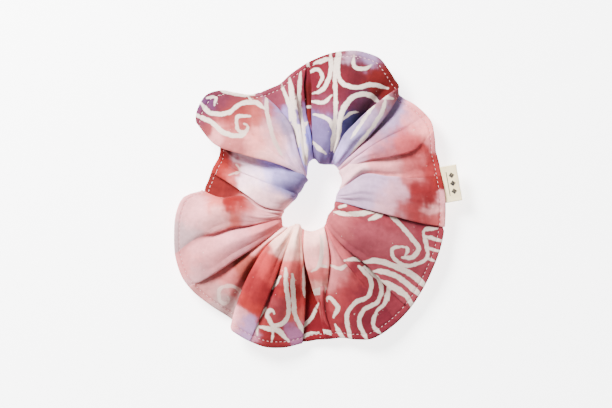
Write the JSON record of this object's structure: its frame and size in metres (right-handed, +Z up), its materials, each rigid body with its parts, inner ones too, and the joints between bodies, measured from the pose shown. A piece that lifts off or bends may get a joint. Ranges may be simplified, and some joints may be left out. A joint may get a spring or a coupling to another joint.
{
  "type": "scrunchie",
  "caption": "Gathered fabric hair tie: a printed cotton tube on a flat elastic loop that stretches open to hold a ponytail, with a folded tape label in its outer seam.",
  "frame": {"origin": "bottom centre of the whole object, lying flat on its underside", "axes": "+Z up through the opening; +X towards the label; +Y along the table, a quarter turn anticlockwise from +X"},
  "size_m": [0.1498, 0.1531, 0.024],
  "materials": {
    "printed_cotton": "woven cotton with a wax-resist print in crimson, plum, coral, pink, lilac and cream",
    "braided_elastic": "flat braided elastic, matt white",
    "sewing_thread": "fine pale pink sewing thread",
    "label_cotton": "cream cotton tape, matt"
  },
  "bodies": {
    "sector_01": {"cloth_cover_01": "printed_cotton", "elastic_band_01": "braided_elastic", "edge_seam_01": "sewing_thread", "topstitch_01": "sewing_thread", "closing_seam": "sewing_thread", "label_tail": "label_cotton"},
    "sector_02": {"cloth_cover_02": "printed_cotton", "elastic_band_02": "braided_elastic", "edge_seam_02": "sewing_thread", "topstitch_02": "sewing_thread"},
    "sector_03": {"cloth_cover_03": "printed_cotton", "elastic_band_03": "braided_elastic", "edge_seam_03": "sewing_thread", "topstitch_03": "sewing_thread"},
    "sector_04": {"cloth_cover_04": "printed_cotton", "elastic_band_04": "braided_elastic", "edge_seam_04": "sewing_thread", "topstitch_04": "sewing_thread"},
    "sector_05": {"cloth_cover_05": "printed_cotton", "elastic_band_05": "braided_elastic", "edge_seam_05": "sewing_thread", "topstitch_05": "sewing_thread"},
    "sector_06": {"cloth_cover_06": "printed_cotton", "elastic_band_06": "braided_elastic", "edge_seam_06": "sewing_thread", "topstitch_06": "sewing_thread"},
    "sector_07": {"cloth_cover_07": "printed_cotton", "elastic_band_07": "braided_elastic", "edge_seam_07": "sewing_thread", "topstitch_07": "sewing_thread"},
    "sector_08": {"cloth_cover_08": "printed_cotton", "elastic_band_08": "braided_elastic", "edge_seam_08": "sewing_thread", "topstitch_08": "sewing_thread"},
    "sector_09": {"cloth_cover_09": "printed_cotton", "elastic_band_09": "braided_elastic", "edge_seam_09": "sewing_thread", "topstitch_09": "sewing_thread"},
    "sector_10": {"cloth_cover_10": "printed_cotton", "elastic_band_10": "braided_elastic", "edge_seam_10": "sewing_thread", "topstitch_10": "sewing_thread"},
    "sector_11": {"cloth_cover_11": "printed_cotton", "elastic_band_11": "braided_elastic", "edge_seam_11": "sewing_thread", "topstitch_11": "sewing_thread"},
    "sector_12": {"cloth_cover_12": "printed_cotton", "elastic_band_12": "braided_elastic", "edge_seam_12": "sewing_thread", "topstitch_12": "sewing_thread", "elastic_lap": "braided_elastic", "elastic_bartack": "sewing_thread"},
    "label": {"label_flap": "label_cotton"}
  },
  "joints": [
    {"name": "ring_stretch", "type": "slide", "parent": "sector_07", "child": "sector_06", "axis": [0.1736, 0.9848, 0], "range_m": [0, 0.01139], "stiffness_N_per_m": 150},
    {"name": "stretch_05", "type": "slide", "parent": "sector_06", "child": "sector_05", "axis": [0.6428, 0.766, 0], "range_m": [0, 0.01139], "stiffness_N_per_m": 150},
    {"name": "stretch_04", "type": "slide", "parent": "sector_05", "child": "sector_04", "axis": [0.9397, 0.342, 0], "range_m": [0, 0.01139], "stiffness_N_per_m": 150},
    {"name": "stretch_03", "type": "slide", "parent": "sector_04", "child": "sector_03", "axis": [0.9848, -0.1736, 0], "range_m": [0, 0.01139], "stiffness_N_per_m": 150},
    {"name": "stretch_02", "type": "slide", "parent": "sector_03", "child": "sector_02", "axis": [0.766, -0.6428, 0], "range_m": [0, 0.01139], "stiffness_N_per_m": 150},
    {"name": "stretch_01", "type": "slide", "parent": "sector_02", "child": "sector_01", "axis": [0.342, -0.9397, 0], "range_m": [0, 0.01139], "stiffness_N_per_m": 150},
    {"name": "stretch_08", "type": "slide", "parent": "sector_07", "child": "sector_08", "axis": [0.342, -0.9397, 0], "range_m": [0, 0.01139], "stiffness_N_per_m": 150},
    {"name": "stretch_09", "type": "slide", "parent": "sector_08", "child": "sector_09", "axis": [0.766, -0.6428, 0], "range_m": [0, 0.01139], "stiffness_N_per_m": 150},
    {"name": "stretch_10", "type": "slide", "parent": "sector_09", "child": "sector_10", "axis": [0.9848, -0.1736, 0], "range_m": [0, 0.01139], "stiffness_N_per_m": 150},
    {"name": "stretch_11", "type": "slide", "parent": "sector_10", "child": "sector_11", "axis": [0.9397, 0.342, 0], "range_m": [0, 0.01139], "stiffness_N_per_m": 150},
    {"name": "stretch_12", "type": "slide", "parent": "sector_11", "child": "sector_12", "axis": [0.6428, 0.766, 0], "range_m": [0, 0.01139], "stiffness_N_per_m": 150},
    {"name": "label_swing", "type": "hinge", "parent": "sector_01", "child": "label", "pos_m": [0.06524, 0.00757, 0.009], "axis": [0.1736, -0.9848, 0], "range_deg": [-60, 80], "stiffness_Nm_per_rad": 0.0002}
  ],
  "couplings": [
    {"joint": "stretch_05", "follows": "ring_stretch", "ratio": 1},
    {"joint": "stretch_04", "follows": "ring_stretch", "ratio": 1},
    {"joint": "stretch_03", "follows": "ring_stretch", "ratio": 1},
    {"joint": "stretch_02", "follows": "ring_stretch", "ratio": 1},
    {"joint": "stretch_01", "follows": "ring_stretch", "ratio": 1},
    {"joint": "stretch_08", "follows": "ring_stretch", "ratio": 1},
    {"joint": "stretch_09", "follows": "ring_stretch", "ratio": 1},
    {"joint": "stretch_10", "follows": "ring_stretch", "ratio": 1},
    {"joint": "stretch_11", "follows": "ring_stretch", "ratio": 1},
    {"joint": "stretch_12", "follows": "ring_stretch", "ratio": 1}
  ]
}
